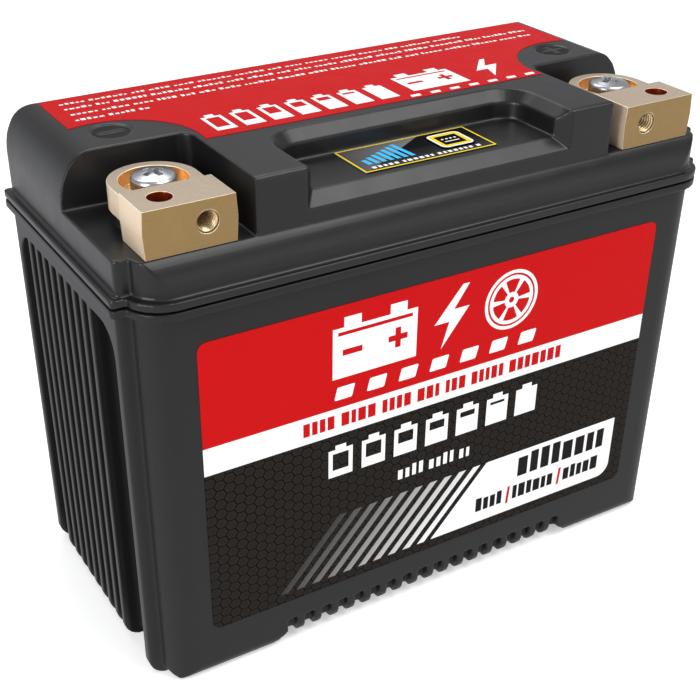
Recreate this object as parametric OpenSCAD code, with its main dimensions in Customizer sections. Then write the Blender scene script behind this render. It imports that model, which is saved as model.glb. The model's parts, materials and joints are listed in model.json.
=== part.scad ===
// Lithium iron phosphate motorcycle starter battery, 12.8 V, built from twelve 26650 cells.
// Frame: X along the length, Y from the label side (-Y) to the back, Z up.
// The origin is the centre of the footprint, on the surface that the battery stands on.

/* [Case] */
// Length over the rim that joins case and lid
case_l = 165; // [164:0.5:167]
// Width over the rim
case_w = 86; // [85:0.5:88]
// Overall height to the top of the lid label
case_h = 130; // [129:0.5:132]
// Height of the line where the lid meets the case
joint_z = 106.2; // [105.8:0.1:106.6]
// How far the rim stands out from the front and back faces
rim_front = 1.85; // [1.5:0.05:2]
// How far the rim stands out from the end faces
rim_end = 1.4; // [1.2:0.05:1.6]
// Half width of the narrower end blocks
end_half_w = 34.4; // [34:0.1:35]
// Reach of the wide middle block towards the left end
mid_left = 78; // [77.5:0.1:78.5]
// Reach of the wide middle block towards the right end
mid_right = 79.6; // [78:0.1:79.6]
// Vertical corner radius of the middle block
corner_r = 8; // [7:0.5:9]
// Wall thickness of case and lid
wall = 2.2; // [2:0.1:2.4]

/* [End ribs] */
// Number of upright ribs in the recess of each end face
end_rib_n = 9; // [7:1:9]
// Distance between rib centres
end_rib_pitch = 5.05; // [4.8:0.05:5.2]
// Front-to-back place of the middle rib
end_rib_mid_y = 3.5; // [2:0.1:4.5]
// Width of a rib
end_rib_w = 2.05; // [1.8:0.05:2.4]
// Depth of the recess that the ribs stand in
panel_d = 4; // [3.2:0.1:4.2]

/* [Base] */
// Height of the two end feet
foot_h = 3; // [2.5:0.1:3.5]
// Number of ribs across the base
base_rib_n = 17; // [13:2:17]
// Distance between base rib centres
base_rib_pitch = 5.1; // [4.8:0.1:5.2]

/* [Lid] */
// Height of the ledge that the terminals stand on
ledge_z = 116.75; // [116.5:0.05:117]
// Height over which the ends of the deck curve in
deck_end_h = 12.5; // [11:0.5:12.5]
// Half length of the deck between the terminal pockets
pocket_x = 49; // [48.5:0.1:49.5]
// Front-to-back place of the pockets' rear wall
pocket_y = -4.8; // [-5:0.1:-4.4]
// Height of the floor of the display recess
display_z = 122.9; // [122.5:0.1:123.2]

/* [Terminals] */
// Sideways place of the screw that holds each terminal
screw_x = 64.1; // [63.8:0.1:64.4]
// Front-to-back place of that screw
screw_y = -19.2; // [-19.4:0.1:-19]
// Diameter of the vertical through hole
through_d = 5.5; // [5.3:0.1:6]
// Core diameter of the M5 thread in the front face
tapped_d = 4.2; // [4:0.1:4.4]

/* [Cells] */
// Diameter of a 26650 cell with its sleeve
cell_d = 26.2; // [26:0.1:26.4]
// Length of a cell
cell_l = 65.3; // [65:0.1:65.6]
// Distance between cell centres
cell_pitch = 27; // [26.8:0.1:27.2]

/* [Test key] */
// Sideways place of the key
key_x = 10.2; // [9.8:0.1:10.6]
// Front-to-back place of the key
key_y = -24.7; // [-25:0.1:-24.4]
// Travel of the key
key_travel = 0.4; // [0.3:0.05:0.45]

/* [Hidden] */
eps = 0.01;
arc_n = 8;
label_t = 0.15;
fit_gap = 0.05;
deck_z = case_h - label_t;
half_l = case_l / 2;
half_w = case_w / 2;
face_y = half_w - rim_front;
face_x = half_l - rim_end;
// Heights of the two rims: the gap between them shows the edge of the seal
gap = 0.6;
case_top = joint_z - gap / 2;
lid_bottom = joint_z + gap / 2;
rim_h = 1.9;
// The seal lies this far inside the rims, and this far out from the hollow
seal_inset = 1.3;
seal_lap = 0.6;
// Rounding of the case's bottom edges
foot_end_r = 5;
foot_side_r = 4;
// Recess in each end face
panel_half_w = 31;
panel_top = 98.8;
panel_r = 7;
// rounding of its bottom edge, and how high and how far in it is cut under the foot
panel_foot_r = 3;
panel_foot_d = 1.2;
panel_reach = 10;
// Feet and base
foot_x = 50;
// how far the ends of the feet slope outward per unit of height
foot_slope = 1.2;
base_rib_w = 2.2;
base_rib_bottom = 1.8;
slot_top = 8.2;
slot_d = 2.4;
floor_z = foot_h + 3.2;
step_z = slot_top + 2;
// Inside of the case
inner_x = face_x - panel_d - wall;
inner_y = face_y - wall;
inner_r = corner_r - wall;
// Lid skirt
skirt_x = 80.8;
deck_flat_x = 72.4;
wall_y = 38;
skirt_arc_z = 109.5;
lid_step = 0.3;
deck_front_r = 1;
deck_back_y = 34.4;
deck_back_r = 3.4;
pocket_r = 3.2;
lid_t = 2.4;
// Display recess
recess_x = 36.4;
recess_y = -14.8;
recess_r = 9;
recess_bevel = 2.7;
recess_floor_x = recess_x - recess_bevel;
recess_front_y = -34.35;
recess_lip_z = 120.2;
// how much wider the sloping front of the recess grows towards the front wall
recess_flare = 0.4;
disc_x = 64.2;
disc_y = 4.3;
disc_r = 5;
disc_d = 0.4;
mark_half = 3;
mark_w = 1.1;
// Terminal blocks
block_in = 53.6;
block_out = 74.9;
block_front = -38.04;
block_back = -26.03;
block_bottom = ledge_z + 0.1;
block_top = 127.65;
block_bulge = 0.35;
lug_r = 10.2;
lug_top = 126.4;
lug_bottom = 120.4;
lug_bore_r = 7.7;
lug_seat = 123.2;
through_x = 68.3;
tapped_x = 60.35;
tapped_z = 122.6;
tapped_depth = 10;
block_mid_y = (block_front + block_back) / 2;
// Terminal screw and the insert that it screws into
screw_r = 3;
screw_clear_r = 3.2;
screw_head_r = 5.2;
screw_head_h = 5;
screw_end = 110.5;
head_edge_r = 2.4;
cross_half = 2.6;
cross_w = 1.1;
cross_turn = 20;
pedestal_r = 8.6;
insert_r = 5;
insert_bottom = 108;
insert_flange_r = 7;
spigot_r = 3;
bar_t = 1.2;
bar_half_w = 6;
neg_bar_x = 36;
tab_up = 5;
// Cell pack
cell_cols = 4;
cell_rows = 3;
pad_t = 3;
pack_bottom = floor_z + pad_t;
holder_margin = 1.2;
holder_t = 9;
lip_t = 0.75;
pack_x = cell_pitch * cell_cols / 2 + holder_margin;
pack_z0 = pack_bottom + 0.1;
cell_z0 = pack_z0 + cell_d / 2 + holder_margin;
pack_z1 = cell_z0 + cell_pitch * (cell_rows - 1) + cell_d / 2 + holder_margin;
cell_end_y = cell_l / 2;
holder_y = cell_end_y + lip_t;
window_r = 9;
strip_t = 0.4;
strip_half_w = 8;
strip_y = holder_y + strip_t;
sheet_t = 0.4;
sheet_y = strip_y + sheet_t;
tab_half_w = 5;
pad_foam_z0 = step_z + 0.6;
// Battery management board on top of the cells
board_z = pack_z1 + 3;
board_t = 1.6;
board_x = 46;
board_y = 28.5;
board_hole_x = 42;
board_hole_y = 23;
// Board of the charge display, under the lid
disp_y = -25.2;
disp_x = 24;
disp_half_y = 8;
disp_top = 118;
disp_t = 1.6;
disp_screw_x = 21.3;
display_floor_t = 2;
lid_under = display_z - display_floor_t;
// Test key
key_w = 9.4;
key_depth = 8.8;
key_r = 1.4;
key_gap = 0.25;
key_proud = 0.45;
key_flange = 0.9;
key_flange_t = 0.8;
key_stem_r = 1.6;
switch_top = disp_top + 0.9;
overlay_t = 0.2;
overlay_x = 18.5;
overlay_y0 = -32.7;
overlay_y1 = -17.9;
// Labels
label_x = 66.1;
label_z0 = 14.6;
label_z1 = 96.4;
top_label_x = deck_flat_x;
top_label_front = -11.6;
top_label_back = deck_back_y - deck_back_r;
// round cut-outs of the top label, around the polarity discs
scoop_x = 66;
scoop_y = -7.8;
scoop_r = 18.5;

CELLS = [for (c = [0 : cell_cols - 1]) for (r = [0 : cell_rows - 1]) str("cell_", c * cell_rows + r + 1)];
STRIPS = [for (s = [0 : cell_cols]) str("bus_strip_", s + 1)];

// ---- outlines and prisms ----

// Points along an arc, from angle a0 to a1
function arc(cx, cy, r, a0, a1, n = arc_n) =
    [for (i = [0 : n]) let (a = a0 + (a1 - a0) * i / n) [cx + r * cos(a), cy + r * sin(a)]];

// Quarter of an oval, from its side (half width rx) to its top (half height rz)
function quarter_oval(cx, cz, rx, rz, n = 14) =
    [for (i = [0 : n]) [cx + rx * cos(90 * i / n), cz + rz * sin(90 * i / n)]];

// A rectangle x0..x1 by y0..y1 with round corners
function round_box(x0, x1, y0, y1, r, n = arc_n) = concat(
    arc(x1 - r, y1 - r, r, 0, 90, n), arc(x0 + r, y1 - r, r, 90, 180, n),
    arc(x0 + r, y0 + r, r, 180, 270, n), arc(x1 - r, y0 + r, r, 270, 360, n));

// Extrusions of an outline along each axis
module along_z(z0, z1, outline)
    translate([0, 0, z0]) linear_extrude(z1 - z0) polygon(outline);
module along_y(y0, y1, outline)
    translate([0, y1, 0]) rotate([90, 0, 0]) linear_extrude(y1 - y0) polygon(outline);
module along_x(x0, x1, outline)
    translate([x0, 0, 0]) rotate([90, 0, 90]) linear_extrude(x1 - x0) polygon(outline);
module box(lo, hi) translate(lo) cube(hi - lo);
module rod(x, y, z0, z1, r) translate([x, y, z0]) cylinder(h = z1 - z0, r = r, $fn = 48);
module both_ends() {
    children();
    mirror([1, 0, 0]) children();
}
module both_sides() {
    children();
    mirror([0, 1, 0]) children();
}

// Plan of the case: a wide middle block and two narrower end blocks, grown by g
module plan_prism(z0, z1, gx, gy) {
    along_z(z0, z1, round_box(-face_x - gx, face_x + gx, -end_half_w - gx, end_half_w + gx, 1.2, 3));
    along_z(z0, z1, round_box(-mid_left - gx, mid_right + gx, -face_y - gy, face_y + gy,
                              corner_r + gx));
}

// ---- case ----

// View of one block of the case from the front: round lower corners
function front_view(x0, x1) = concat(
    [[x1, case_top], [x0, case_top]],
    arc(x0 + foot_end_r, foot_end_r, foot_end_r, 180, 270),
    arc(x1 - foot_end_r, foot_end_r, foot_end_r, 270, 360));

// Side view seen from the end: smaller lower corners
case_end_view = concat(
    [[half_w + 5, case_top], [-half_w - 5, case_top], [-half_w - 5, foot_side_r]],
    arc(-face_y + foot_side_r, foot_side_r, foot_side_r, 180, 270),
    arc(face_y - foot_side_r, foot_side_r, foot_side_r, 270, 360),
    [[half_w + 5, foot_side_r]]);

// Prism of the end view, with its round lower corners raised by up
module side_rounding(up) translate([0, 0, up]) along_x(-half_l, half_l, case_end_view);

// Recess in an end face, round at its bottom edge, round the ribs that stand level with the face
module end_panel() difference() {
    intersection() {
        along_x(face_x - panel_reach, half_l, concat(
            [[-panel_half_w, -1], [panel_half_w, -1]],
            arc(panel_half_w - panel_r, panel_top - panel_r, panel_r, 0, 90),
            arc(-panel_half_w + panel_r, panel_top - panel_r, panel_r, 90, 180)));
        along_y(-panel_half_w, panel_half_w, concat(
            [[half_l, panel_top]], [[face_x - panel_d, panel_top]],
            arc(face_x - panel_d - panel_foot_r, panel_foot_d + panel_foot_r, panel_foot_r, 0, -90),
            [[face_x - panel_reach, panel_foot_d], [face_x - panel_reach, -1], [half_l, -1]]));
    }
    for (i = [0 : end_rib_n - 1]) {
        y = end_rib_mid_y + (i - (end_rib_n - 1) / 2) * end_rib_pitch;
        box([face_x - panel_reach - 1, y - end_rib_w / 2, -2],
            [half_l + 1, y + end_rib_w / 2, panel_top + 1]);
    }
}

// What is cut away under the raised base between the feet, which have sloping ends
module base_gap() difference() {
    top = foot_h + foot_side_r;
    x_top = foot_x - foot_slope * top;
    along_y(-half_w, half_w,
            [[-foot_x, -1], [-foot_x, 0], [-x_top, top], [x_top, top], [foot_x, 0], [foot_x, -1]]);
    side_rounding(foot_h);
}

function rib_x(i) = (i - (base_rib_n - 1) / 2) * base_rib_pitch;

module container() color([0.16, 0.16, 0.165]) {
    difference() {
        intersection() {
            plan_prism(0, case_top, 0, 0);
            union() {
                along_y(-end_half_w, end_half_w, front_view(-face_x, face_x));
                along_y(-half_w, half_w, front_view(-mid_left, mid_right));
            }
            along_x(-half_l, half_l, case_end_view);
        }
        along_z(step_z, case_top + 1, round_box(-inner_x, inner_x, -inner_y, inner_y, inner_r));
        along_z(floor_z, step_z + eps,
                round_box(-inner_x, inner_x, -inner_y + slot_d, inner_y - slot_d, inner_r));
        both_ends() end_panel();
        base_gap();
        // slots between the rib ends, at the foot of the front and back faces
        both_sides() for (i = [0 : base_rib_n]) {
            x = rib_x(i) - base_rib_pitch / 2;
            w = (base_rib_pitch - base_rib_w) / 2;
            box([x - w, -half_w, 0], [x + w, -face_y + slot_d, slot_top]);
        }
    }
    // ribs under the base, with round noses
    intersection() {
        r = base_rib_w / 2;
        for (i = [0 : base_rib_n - 1])
            along_y(-face_y, face_y, concat(
                [[rib_x(i) + r, floor_z - 0.1], [rib_x(i) - r, floor_z - 0.1]],
                arc(rib_x(i), base_rib_bottom + r, r, 180, 360)));
        side_rounding(base_rib_bottom);
    }
    // rim
    difference() {
        plan_prism(case_top - rim_h, case_top, rim_end, rim_front);
        along_z(case_top - rim_h - 1, case_top + 1,
                round_box(-inner_x, inner_x, -inner_y, inner_y, inner_r));
    }
}

module lid_seal() color([0.05, 0.05, 0.05]) difference() {
    plan_prism(case_top, lid_bottom, rim_end - seal_inset, rim_front - seal_inset);
    along_z(case_top - 1, lid_bottom + 1,
            round_box(-inner_x - seal_lap, inner_x + seal_lap,
                      -inner_y - seal_lap, inner_y + seal_lap, inner_r));
}

// ---- lid ----

// Lid seen from the front: the round ends of the deck
deck_curve = quarter_oval(deck_flat_x, deck_z - deck_end_h, skirt_x - deck_flat_x, deck_end_h);
lid_front_view = concat(
    [[-skirt_x, lid_bottom], [skirt_x, lid_bottom]], deck_curve,
    [for (i = [1 : len(deck_curve)]) let (p = deck_curve[len(deck_curve) - i]) [-p[0], p[1]]]);

// Lid seen from the end: swept skirt, upright front wall and round back
skirt_arc_r = ((face_y - wall_y) ^ 2 + (ledge_z - skirt_arc_z) ^ 2) / (2 * (face_y - wall_y));
skirt_arc_a = asin((ledge_z - skirt_arc_z) / skirt_arc_r);
lid_end_view = concat(
    [[-face_y, lid_bottom]],
    [[face_y, lid_bottom]],
    arc(face_y - skirt_arc_r, skirt_arc_z, skirt_arc_r, 0, skirt_arc_a),
    [[wall_y, ledge_z], [deck_back_y, ledge_z]],
    arc(deck_back_y - deck_back_r, deck_z - deck_back_r, deck_back_r, 0, 90, 6),
    arc(-wall_y + deck_front_r, deck_z - deck_front_r, deck_front_r, 90, 180, 3),
    arc(-face_y + skirt_arc_r, skirt_arc_z, skirt_arc_r, 180 - skirt_arc_a, 180));

module pocket_cut() {
    // one terminal pocket: open to the end and to the front, with a round inner corner
    along_z(ledge_z, case_h + 1, concat(
        arc(-pocket_x - pocket_r, pocket_y - pocket_r, pocket_r, 0, 90),
        [[-half_l - 1, pocket_y], [-half_l - 1, -half_w - 1], [-pocket_x, -half_w - 1]]));
}

module recess_cut() {
    // display recess: bevelled rim, upright walls and a floor that slopes away at the front
    hull() {
        along_z(deck_z + eps, deck_z + 1,
                round_box(-recess_x, recess_x, -half_w, recess_y, recess_r));
        along_z(deck_z - recess_bevel, deck_z - recess_bevel + eps,
                round_box(-recess_floor_x, recess_floor_x, -half_w, recess_y - recess_bevel,
                          recess_r - recess_bevel));
    }
    along_z(display_z, deck_z, round_box(-recess_floor_x, recess_floor_x, recess_front_y,
                                         recess_y - recess_bevel, recess_r - recess_bevel));
    box([-recess_floor_x, recess_front_y, display_z],
        [recess_floor_x, recess_front_y + recess_r, deck_z]);
    hull() {
        box([-recess_floor_x, recess_front_y - eps, display_z],
            [recess_floor_x, recess_front_y, deck_z + 1]);
        box([-recess_x - recess_flare, -wall_y - 0.5, recess_lip_z - 0.35],
            [recess_x + recess_flare, -wall_y - 0.4, deck_z + 1]);
    }
}

module lid_hollow() {
    along_z(lid_bottom - 1, ledge_z - lid_t,
            round_box(-inner_x, inner_x, -inner_y, inner_y, inner_r));
    box([-inner_x, pocket_y + lid_t, ledge_z - lid_t - eps], [inner_x, deck_back_y - 2.6, deck_z - lid_t]);
    box([-pocket_x + lid_t, recess_y + lid_t, ledge_z - lid_t - eps],
        [pocket_x - lid_t, pocket_y + lid_t + eps, deck_z - lid_t]);
    box([-pocket_x + lid_t, -wall_y + lid_t, ledge_z - lid_t - eps],
        [pocket_x - lid_t, recess_y + lid_t + eps, recess_lip_z - lid_t]);
    box([-recess_floor_x + 2, recess_front_y + 1, ledge_z - lid_t - eps],
        [recess_floor_x - 2, recess_y, lid_under]);
}

// Sunken disc with a raised minus bar, or with a raised plus when crossed is true
module polarity_disc(crossed) difference() {
    rod(disc_x, disc_y, deck_z - disc_d, deck_z + 1, disc_r);
    box([disc_x - mark_half, disc_y - mark_w / 2, deck_z - 1],
        [disc_x + mark_half, disc_y + mark_w / 2, deck_z - disc_d / 2]);
    if (crossed)
        box([disc_x - mark_w / 2, disc_y - mark_half, deck_z - 1],
            [disc_x + mark_w / 2, disc_y + mark_half, deck_z - disc_d / 2]);
}

module lid() color([0.22, 0.22, 0.225]) difference() {
    union() {
        difference() {
            union() {
                intersection() {
                    along_z(lid_bottom, case_h,
                            round_box(-skirt_x, skirt_x, -end_half_w - 0.4, end_half_w, 1.2, 3));
                    along_y(-half_w, half_w, lid_front_view);
                    along_x(-half_l, half_l, lid_end_view);
                }
                intersection() {
                    along_z(lid_bottom, case_h,
                            round_box(-mid_left + lid_step, mid_right - lid_step, -face_y, face_y,
                                      corner_r));
                    along_y(-half_w, half_w, lid_front_view);
                    along_x(-half_l, half_l, lid_end_view);
                }
                plan_prism(lid_bottom, lid_bottom + rim_h, rim_end, rim_front);
            }
            lid_hollow();
            both_ends() pocket_cut();
            recess_cut();
        }
        // terminal pedestals with the bosses that hold the inserts
        both_ends() rod(-screw_x, screw_y, insert_bottom + 2, lug_bottom, pedestal_r);
        // bosses for the display board
        both_ends() rod(-disp_screw_x, disp_y, disp_top, lid_under + 0.5, 2.4);
    }
    polarity_disc(true);
    mirror([1, 0, 0]) polarity_disc(false);
    both_ends() {
        // the pedestals stop at the back of the terminal blocks
        box([-block_out - 1, -half_w, ledge_z], [-block_in + 1, block_back + fit_gap, lug_bottom]);
        rod(-screw_x, screw_y, insert_bottom - 1, lug_bottom + 1, insert_r + fit_gap);
        rod(-disp_screw_x, disp_y, disp_top - 1, lid_under, 0.95);
    }
    along_z(lid_under - 1, display_z + 1,
            round_box(key_x - key_w / 2 - key_gap, key_x + key_w / 2 + key_gap,
                      key_y - key_depth / 2 - key_gap, key_y + key_depth / 2 + key_gap,
                      key_r + key_gap, 4));
}

// ---- labels ----

module front_label() color([0.75, 0.03, 0.03])
    along_y(-face_y - label_t, -face_y, round_box(-label_x, label_x, label_z0, label_z1, 2.4));

module top_label() color([0.75, 0.03, 0.03]) difference() {
    along_z(deck_z, deck_z + label_t,
            round_box(-top_label_x, top_label_x, top_label_front, top_label_back, 2));
    both_ends() rod(-scoop_x, scoop_y, deck_z - 1, deck_z + 1, scoop_r);
}

module display_overlay() color([0.1, 0.1, 0.1]) difference() {
    along_z(display_z, display_z + overlay_t,
            round_box(-overlay_x, overlay_x, overlay_y0, overlay_y1, 0.4, 2));
    along_z(display_z - 1, display_z + 1,
            round_box(key_x - key_w / 2 - key_gap, key_x + key_w / 2 + key_gap,
                      key_y - key_depth / 2 - key_gap, key_y + key_depth / 2 + key_gap,
                      key_r + key_gap, 4));
}

// ---- terminals ----

module terminal_block(side) color([0.72, 0.58, 0.36]) on_side(side) difference() {
    union() {
        // block with sides that swell slightly at mid height
        along_y(block_front, block_back, [
            [block_in, block_bottom], [block_out, block_bottom],
            [block_out + block_bulge, tapped_z], [block_out, block_top],
            [block_in, block_top], [block_in - block_bulge, tapped_z]]);
        rod(screw_x, screw_y, lug_bottom, lug_top, lug_r);
        box([screw_x - lug_r, block_back - eps, lug_bottom], [screw_x + lug_r, screw_y, lug_top]);
    }
    // seat of the screw head, cut straight along the block
    intersection() {
        rod(screw_x, screw_y, lug_seat, case_h, lug_bore_r);
        box([block_in - 5, block_back, lug_seat - 1], [block_out + 5, 0, case_h + 1]);
    }
    rod(screw_x, screw_y, lug_bottom - 1, lug_seat + 1, screw_clear_r);
    rod(through_x, block_mid_y, block_bottom - 1, block_top + 1, through_d / 2);
    translate([tapped_x, block_front - 1, tapped_z]) rotate([-90, 0, 0])
        cylinder(h = tapped_depth + 1, d = tapped_d, $fn = 48);
}
module on_side(side) {
    if (side < 0) mirror([1, 0, 0]) children();
    else children();
}

module terminal_screw(side) color([0.75, 0.75, 0.77])
    translate([side * screw_x, screw_y, 0]) difference() {
        union() {
            rod(0, 0, screw_end, lug_seat, screw_r - 0.02);
            // pan head with a rounded upper edge
            translate([0, 0, lug_seat]) rotate_extrude($fn = 48)
                polygon(concat([[0, 0], [screw_head_r, 0]],
                    arc(screw_head_r - head_edge_r, screw_head_h - head_edge_r, head_edge_r, 0, 90, 5),
                    [[0, screw_head_h]]));
        }
        // cross recess
        for (a = [0, 90]) rotate([0, 0, a + cross_turn])
            box([-cross_half, -cross_w / 2, lug_seat + 0.9],
                [cross_half, cross_w / 2, lug_seat + screw_head_h + 1]);
    }

module terminal_insert(side) color([0.72, 0.58, 0.36])
    translate([side * screw_x, screw_y, 0]) difference() {
        union() {
            rod(0, 0, insert_bottom, lug_bottom, insert_r);
            rod(0, 0, insert_bottom, insert_bottom + 2, insert_flange_r);
            rod(0, 0, insert_bottom - bar_t - 0.6, insert_bottom, spigot_r);
        }
        rod(0, 0, screw_end - 1, lug_bottom + 1, screw_r);
    }

// Copper bar riveted to the insert: level under the lid, then folded down at reach_x
module output_bar(side, reach_x, drop_z) {
    x = side * screw_x;
    z = insert_bottom;
    difference() {
        union() {
            rod(x, screw_y, z - bar_t, z, bar_half_w);
            box([min(x, reach_x), screw_y - bar_half_w, z - bar_t],
                [max(x, reach_x), screw_y + bar_half_w, z]);
        }
        rod(x, screw_y, z - 5, z + 5, spigot_r);
    }
    box([reach_x - bar_t / 2, screw_y - bar_half_w, drop_z],
        [reach_x + bar_t / 2, screw_y + bar_half_w, z]);
}
// the negative bar ends in a foot soldered to the board
module negative_bar() color([0.72, 0.45, 0.3]) {
    foot_z = board_z + board_t;
    output_bar(-1, -neg_bar_x, foot_z);
    box([-neg_bar_x, screw_y - bar_half_w, foot_z],
        [-neg_bar_x + 9, screw_y + bar_half_w, foot_z + bar_t]);
}
// the positive bar runs forward and turns in behind the tab of the last strip
module positive_bar() color([0.72, 0.45, 0.3]) {
    x = pack_x - 1;
    z0 = pack_z1 + 0.4;
    z1 = pack_z1 + tab_up;
    output_bar(1, x, z0);
    box([x - bar_t / 2, -holder_y, z0], [x + bar_t / 2, screw_y + bar_half_w, z1]);
    box([col_x(cell_cols - 1) - tab_half_w, -holder_y, z0], [x + bar_t / 2, -holder_y + bar_t, z1]);
}

// ---- cell pack ----

function col_x(c) = (c - (cell_cols - 1) / 2) * cell_pitch;
function row_z(r) = cell_z0 + r * cell_pitch;
// the cells of neighbouring columns point opposite ways, so that the strips join them in series
module cell(i) {
    c = floor(i / cell_rows);
    r = i % cell_rows;
    turn = c % 2;
    translate([col_x(c), 0, row_z(r)]) rotate([turn ? 90 : -90, 0, 0]) {
        color([0.1, 0.3, 0.55]) difference() {
            rod(0, 0, -cell_end_y, cell_end_y - 1.2, cell_d / 2);
            rod(0, 0, cell_end_y - 3, cell_end_y, cell_d / 2 - 1.4);
        }
        color([0.75, 0.75, 0.77]) {
            rod(0, 0, cell_end_y - 3 - eps, cell_end_y - 1.6, cell_d / 2 - 1.4);
            rod(0, 0, cell_end_y - 1.7, cell_end_y, 5);
        }
    }
}

module cell_holder() color([0.07, 0.07, 0.07]) difference() {
    along_y(-holder_y, -holder_y + holder_t, round_box(-pack_x, pack_x, pack_z0, pack_z1, 4, 4));
    for (c = [0 : cell_cols - 1]) for (r = [0 : cell_rows - 1])
        translate([col_x(c), 0, row_z(r)]) rotate([90, 0, 0]) {
            cylinder(h = cell_end_y, r = cell_d / 2 + 0.1, $fn = 48);
            cylinder(h = holder_y + 1, r = window_r, $fn = 48);
        }
}
module front_cell_holder() cell_holder();
module back_cell_holder() mirror([0, 1, 0]) cell_holder();

// Each strip joins one or two columns, on the front or on the back of the pack in turn
module bus_strip(s) color([0.78, 0.76, 0.7]) mirror([0, s % 2, 0]) {
    x0 = col_x(max(s - 1, 0));
    x1 = col_x(min(s, cell_cols - 1));
    top_z = row_z(cell_rows - 1) + 10;
    along_y(-strip_y, -holder_y,
            round_box(x0 - strip_half_w, x1 + strip_half_w, row_z(0) - 10, top_z, 2, 3));
    for (x = x0 == x1 ? [x0] : [x0, x1]) for (r = [0 : cell_rows - 1])
        translate([x, -cell_end_y, row_z(r)]) rotate([90, 0, 0])
            cylinder(h = lip_t + eps, r = 4, $fn = 32);
    // the first and last strips have an output tab
    if (x0 == x1)
        box([x0 - tab_half_w, -strip_y, top_z - 1], [x0 + tab_half_w, -holder_y, pack_z1 + tab_up]);
    // and the first one folds back onto the board
    if (s == 0)
        box([x0 - tab_half_w, -strip_y, board_z + board_t],
            [x0 + tab_half_w, -board_y + 2.5, board_z + board_t + strip_t]);
}

module insulator() color([0.75, 0.72, 0.62])
    along_y(-sheet_y, -strip_y, round_box(-pack_x, pack_x, pack_z0 + 1, pack_z1 - 1, 3, 3));
module front_insulator() insulator();
module back_insulator() mirror([0, 1, 0]) insulator();

module bottom_pad() color([0.2, 0.2, 0.2])
    along_z(floor_z, floor_z + pad_t, round_box(-pack_x, pack_x, -sheet_y, sheet_y, 3, 3));
module front_pad() color([0.2, 0.2, 0.2])
    along_y(-inner_y, -sheet_y, round_box(-pack_x + 4, pack_x - 4, pad_foam_z0, pack_z1 - 4, 3, 3));
module back_pad() mirror([0, 1, 0]) front_pad();

// Foam blocks that centre the pack in the case
module end_spacer() color([0.85, 0.84, 0.8])
    along_z(floor_z, pack_z1 - 6, round_box(pack_x + 0.2, inner_x - 0.2, -32, 32, 3, 3));
module right_spacer() end_spacer();
module left_spacer() mirror([1, 0, 0]) end_spacer();

// ---- battery management board ----

module bms_board() color([0.05, 0.25, 0.12]) difference() {
    along_z(board_z, board_z + board_t, round_box(-board_x, board_x, -board_y, board_y, 2, 3));
    for (x = [-board_hole_x, board_hole_x]) for (y = [-board_hole_y, board_hole_y])
        rod(x, y, board_z - 1, board_z + board_t + 1, 1.6);
}
module bms_standoffs() color([0.1, 0.1, 0.1])
    for (x = [-board_hole_x, board_hole_x]) for (y = [-board_hole_y, board_hole_y])
        difference() {
            rod(x, y, pack_z1, board_z, 3);
            rod(x, y, board_z - 2.5, board_z + 1, 1.25);
        }
module bms_screws() color([0.75, 0.75, 0.77])
    for (x = [-board_hole_x, board_hole_x]) for (y = [-board_hole_y, board_hole_y]) {
        rod(x, y, board_z - 2.4, board_z + board_t + eps, 1.2);
        rod(x, y, board_z + board_t, board_z + board_t + 1.6, 2.6);
    }
mosfet_n = 8;
mosfet_pitch = 8.5;
module bms_mosfets() color([0.06, 0.06, 0.06])
    for (i = [0 : mosfet_n - 1]) {
        x = (i - (mosfet_n - 1) / 2) * mosfet_pitch;
        for (y = [6, 16]) box([x - 3, y - 3.2, board_z + board_t], [x + 3, y + 3.2, board_z + board_t + 2.2]);
    }
module bms_heat_plate() color([0.8, 0.8, 0.82]) {
    box([-36, 1.5, board_z + board_t + 2.2], [36, 20.5, board_z + board_t + 4.2]);
    for (i = [0 : 6]) box([-36, 2 + 3 * i - 0.5, board_z + board_t + 4.1],
                          [36, 2 + 3 * i + 0.5, board_z + board_t + 7.5]);
}
module balance_header() color([0.9, 0.88, 0.8]) difference() {
    box([-8, -24, board_z + board_t], [8, -18, board_z + board_t + 6]);
    box([-7.2, -23.2, board_z + board_t + 1], [7.2, -18.8, board_z + board_t + 7]);
}
module balance_plug() color([0.92, 0.9, 0.84])
    box([-7, -23, board_z + board_t + 1], [7, -19, board_z + board_t + 8]);

// ---- charge display ----

module display_board() color([0.05, 0.25, 0.12]) difference() {
    along_z(disp_top - disp_t, disp_top,
            round_box(-disp_x, disp_x, disp_y - disp_half_y, disp_y + disp_half_y, 1.5, 3));
    both_ends() rod(-disp_screw_x, disp_y, disp_top - disp_t - 1, disp_top + 1, 1.2);
}
led_n = 6;
led_pitch = 2.15;
led_x0 = -13.8;
module display_leds() color([0.5, 0.9, 1])
    for (i = [0 : led_n - 1]) {
        x = led_x0 + i * led_pitch;
        box([x - 0.6, -27.5, disp_top], [x + 0.6, -24.5 + 0.7 * i, disp_top + 1.1]);
    }
module dome_switch() color([0.8, 0.8, 0.82]) {
    box([key_x - 3, key_y - 3, disp_top], [key_x + 3, key_y + 3, disp_top + 0.5]);
    rod(key_x, key_y, disp_top + 0.5 - eps, switch_top, 1.8);
}
module display_connector() color([0.9, 0.88, 0.8])
    box([-4, disp_y + 1, disp_top - disp_t - 4], [4, disp_y + 6, disp_top - disp_t]);
module display_screws() color([0.75, 0.75, 0.77]) both_ends() {
    rod(-disp_screw_x, disp_y, disp_top - disp_t - 1.4, disp_top - disp_t, 2);
    rod(-disp_screw_x, disp_y, disp_top - disp_t - eps, disp_top + 1.8, 0.9);
}

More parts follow.
